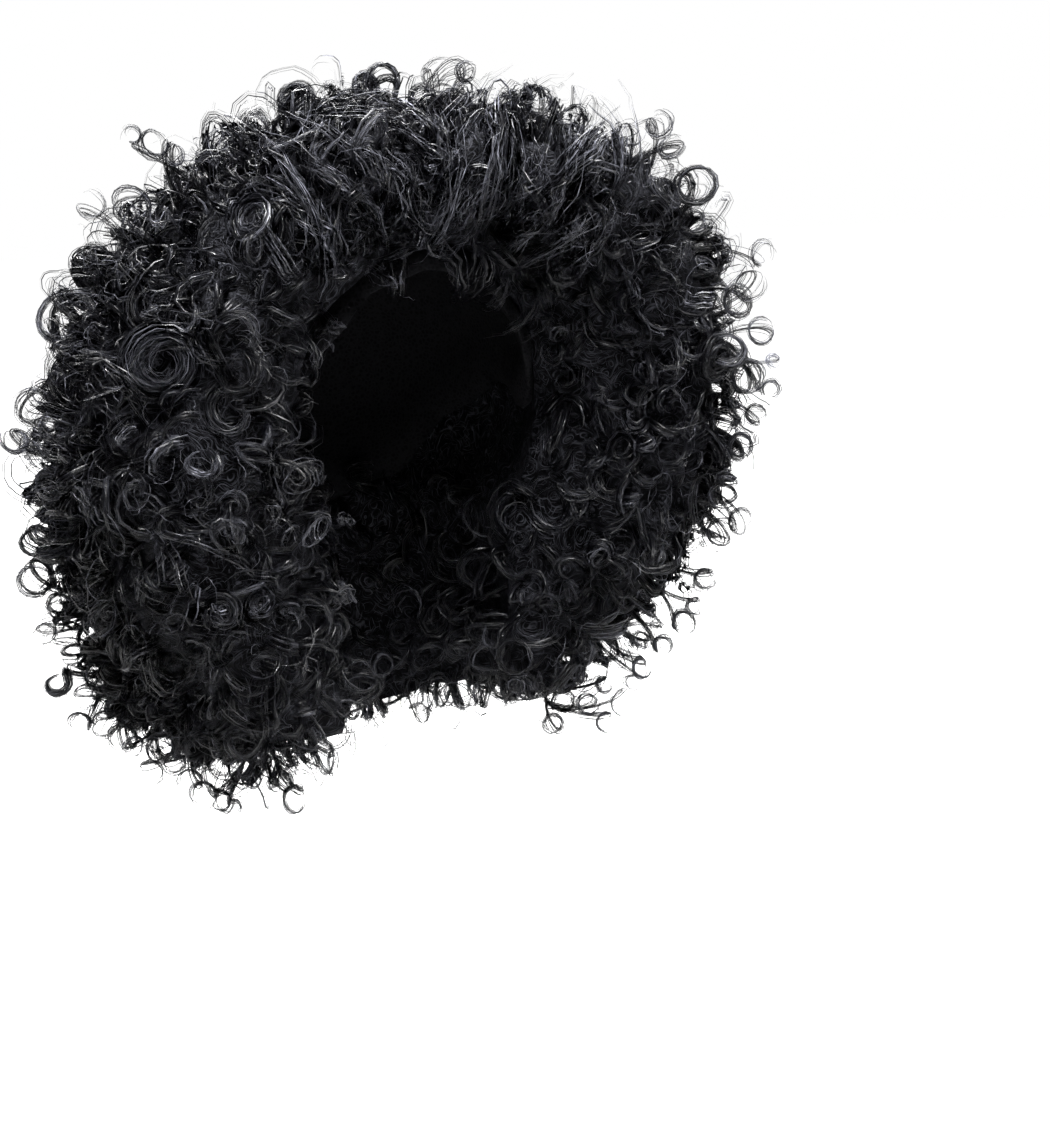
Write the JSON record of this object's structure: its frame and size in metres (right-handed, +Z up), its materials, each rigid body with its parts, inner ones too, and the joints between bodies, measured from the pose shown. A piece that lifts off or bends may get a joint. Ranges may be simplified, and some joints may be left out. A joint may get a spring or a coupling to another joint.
{
  "type": "afro wig",
  "caption": "Large round afro wig of black ringlets on a thin head cap, open at the face and neck, held in its worn shape.",
  "frame": {"origin": "the crown of the head that wears it, on the inside of the cap", "axes": "+Z up along the head, -Y the way the face looks, +X towards the wearer's left ear"},
  "size_m": [0.3927, 0.3111, 0.3731],
  "materials": {
    "cap": "black knitted net",
    "hair": "black synthetic curls with a soft sheen"
  },
  "bodies": {
    "root": {"cap": "cap", "hair_crown": "hair", "hair_front": "hair", "hair_temple_left": "hair", "hair_temple_right": "hair", "hair_side_left": "hair", "hair_side_right": "hair", "hair_back": "hair", "hair_nape": "hair"}
  },
  "joints": []
}
